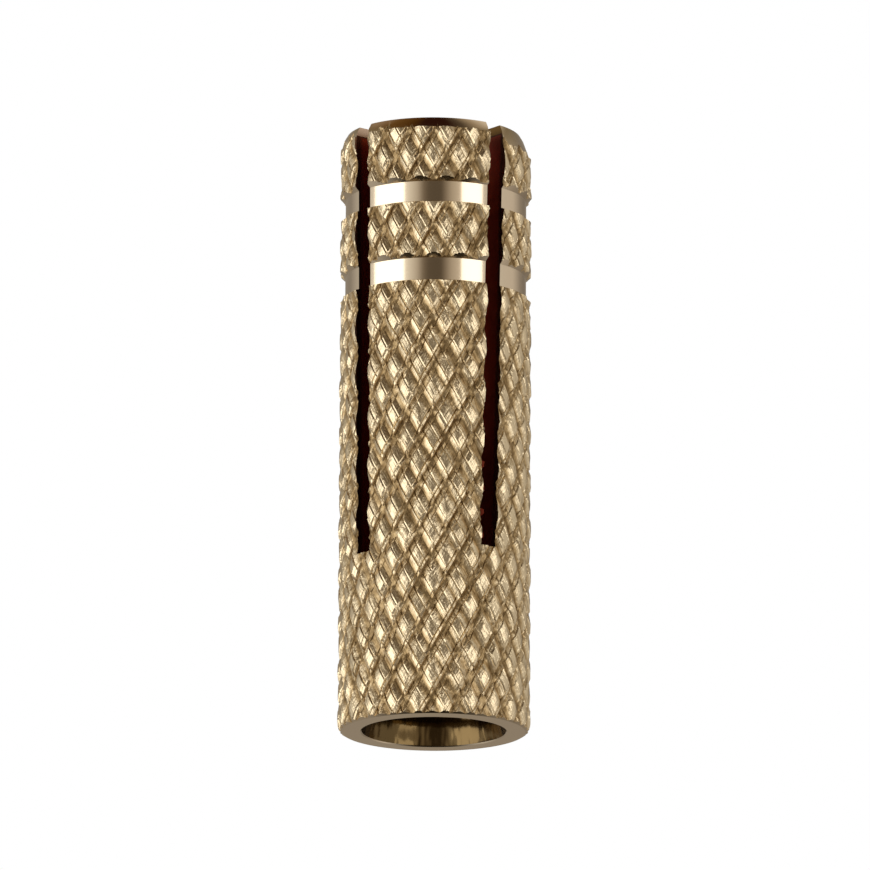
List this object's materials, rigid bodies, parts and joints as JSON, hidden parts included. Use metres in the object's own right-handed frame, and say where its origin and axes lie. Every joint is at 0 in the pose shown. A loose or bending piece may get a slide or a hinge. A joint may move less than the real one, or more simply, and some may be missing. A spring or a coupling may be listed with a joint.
{
  "type": "threaded insert",
  "caption": "Split brass threaded insert, knurled outside, with a metric thread at its plain end and sawn legs that spread when the screw goes in.",
  "frame": {"origin": "centre of the flat mouth face, on the insert's axis", "axes": "+Z runs along the axis from the mouth to the tips of the legs; the insert stands on its mouth. -Y faces the picture's viewer and +X is to the viewer's right"},
  "size_m": [0.008, 0.008, 0.025],
  "materials": {
    "brass": "bright turned and rolled"
  },
  "bodies": {
    "root": {"insert_body": "brass"}
  },
  "joints": []
}
